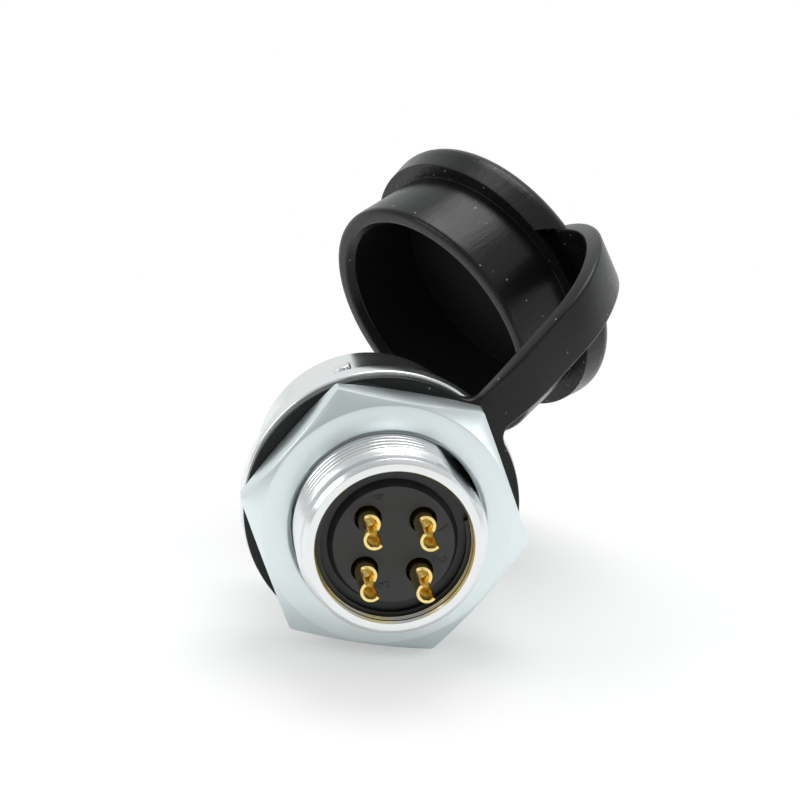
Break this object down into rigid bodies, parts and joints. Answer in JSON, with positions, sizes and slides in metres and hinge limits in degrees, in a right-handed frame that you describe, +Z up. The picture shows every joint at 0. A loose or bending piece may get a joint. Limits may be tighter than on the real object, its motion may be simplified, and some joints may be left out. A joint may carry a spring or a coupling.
{
  "type": "circular panel receptacle",
  "caption": "Rear-nut circular panel receptacle with solder-cup contacts, a satin metal shell and jam nut, and a black rubber dust cap on a strap.",
  "frame": {"origin": "on the connector's axis, at the rear face of the flange, where the panel and its rubber ring seat", "axes": "+Y along the axis from the solder side towards the mating plug, +Z up, +X to the right seen from the rear"},
  "size_m": [0.0443, 0.069, 0.0475],
  "materials": {
    "shell_metal": "satin chrome plate",
    "pin_metal": "satin",
    "nut_metal": "satin chrome plate",
    "rear_insulator_plastic": "moulded",
    "front_insulator_plastic": "moulded",
    "ring_steel": "bright",
    "contact_gold": "gold plate",
    "seal_rubber": "moulded",
    "cap_rubber": "moulded, slightly glossy"
  },
  "bodies": {
    "receptacle": {"shell": "shell_metal", "coupling_pins": "pin_metal", "rear_insulator": "rear_insulator_plastic", "front_insulator": "front_insulator_plastic", "retaining_ring": "ring_steel", "contact_1": "contact_gold", "contact_2": "contact_gold", "contact_3": "contact_gold", "contact_4": "contact_gold", "socket_seal": "seal_rubber", "strap_ring": "cap_rubber"},
    "nut": {"hex_nut": "nut_metal"},
    "strap_link": {"strap": "cap_rubber"},
    "cap": {"dust_cap": "cap_rubber"}
  },
  "joints": [
    {"name": "nut_turn", "type": "hinge", "parent": "receptacle", "child": "nut", "pos_m": [0, -0.004, 0], "axis": [0, -1, 0], "continuous": true},
    {"name": "strap_root", "type": "hinge", "parent": "receptacle", "child": "strap_link", "pos_m": [0.01143, -0.0008, 0.01155], "axis": [-0.7108, 0, 0.7034], "range_deg": [-60, 10], "stiffness_Nm_per_rad": 0.03},
    {"name": "cap_fold", "type": "hinge", "parent": "strap_link", "child": "cap", "pos_m": [0.02191, 0.00482, 0.02214], "axis": [-0.4505, -0.246, 0.8582], "range_deg": [-62, 15], "stiffness_Nm_per_rad": 0.03}
  ]
}
